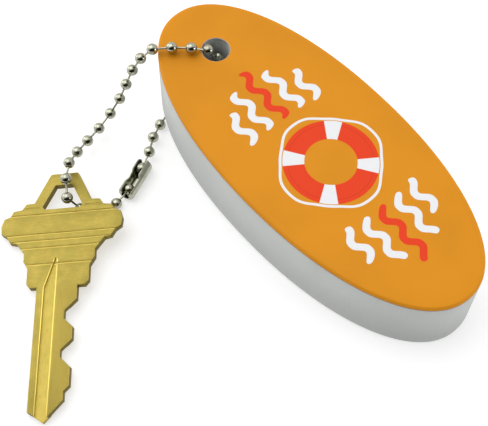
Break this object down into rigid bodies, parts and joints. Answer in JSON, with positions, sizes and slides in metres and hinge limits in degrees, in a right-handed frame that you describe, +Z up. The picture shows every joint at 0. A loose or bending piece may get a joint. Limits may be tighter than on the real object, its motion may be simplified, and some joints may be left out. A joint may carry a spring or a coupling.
{
  "type": "floating keychain",
  "caption": "Oval foam float with a printed face on a closed loop of ball chain, its snap connector and a brass house key threaded on the chain.",
  "frame": {"origin": "middle of the float's flat underside", "axes": "+X along the float away from its hole, +Z up from the table, which lies 1.6 mm below the origin; the float lies 2.1 degrees off level, on the chain"},
  "size_m": [0.0865, 0.0923, 0.0221],
  "materials": {
    "foam": "white closed-cell foam, matt, with a fine cell texture",
    "print": "orange printed foam sheet, satin",
    "brass": "brushed brass",
    "nickel": "bright nickel plate"
  },
  "bodies": {
    "float": {"foam_float": "foam", "printed_face": "print", "chain_clasp": "nickel", "chain_bead_01": "nickel", "chain_bead_02": "nickel", "chain_bead_03": "nickel", "chain_bead_04": "nickel", "chain_bead_05": "nickel", "chain_bead_06": "nickel", "chain_bead_07": "nickel", "chain_bead_08": "nickel", "chain_bead_09": "nickel", "chain_bead_10": "nickel", "chain_bead_11": "nickel", "chain_bead_12": "nickel", "chain_bead_13": "nickel", "chain_bead_14": "nickel", "chain_bead_15": "nickel", "chain_bead_16": "nickel", "chain_bead_17": "nickel", "chain_bead_18": "nickel", "chain_bead_19": "nickel", "chain_bead_20": "nickel", "chain_bead_21": "nickel", "chain_bead_22": "nickel", "chain_bead_23": "nickel", "chain_bead_24": "nickel", "chain_bead_25": "nickel", "chain_bead_26": "nickel", "chain_bead_27": "nickel", "chain_bead_28": "nickel", "chain_bead_29": "nickel", "chain_bead_30": "nickel", "chain_bead_31": "nickel"},
    "key": {"house_key": "brass"}
  },
  "joints": [
    {"name": "key_swing", "type": "hinge", "parent": "float", "child": "key", "pos_m": [-0.03388, -0.0383, 0.0014], "axis": [-0.6364, -0.7576, -0.1447], "range_deg": [0, 110]}
  ]
}
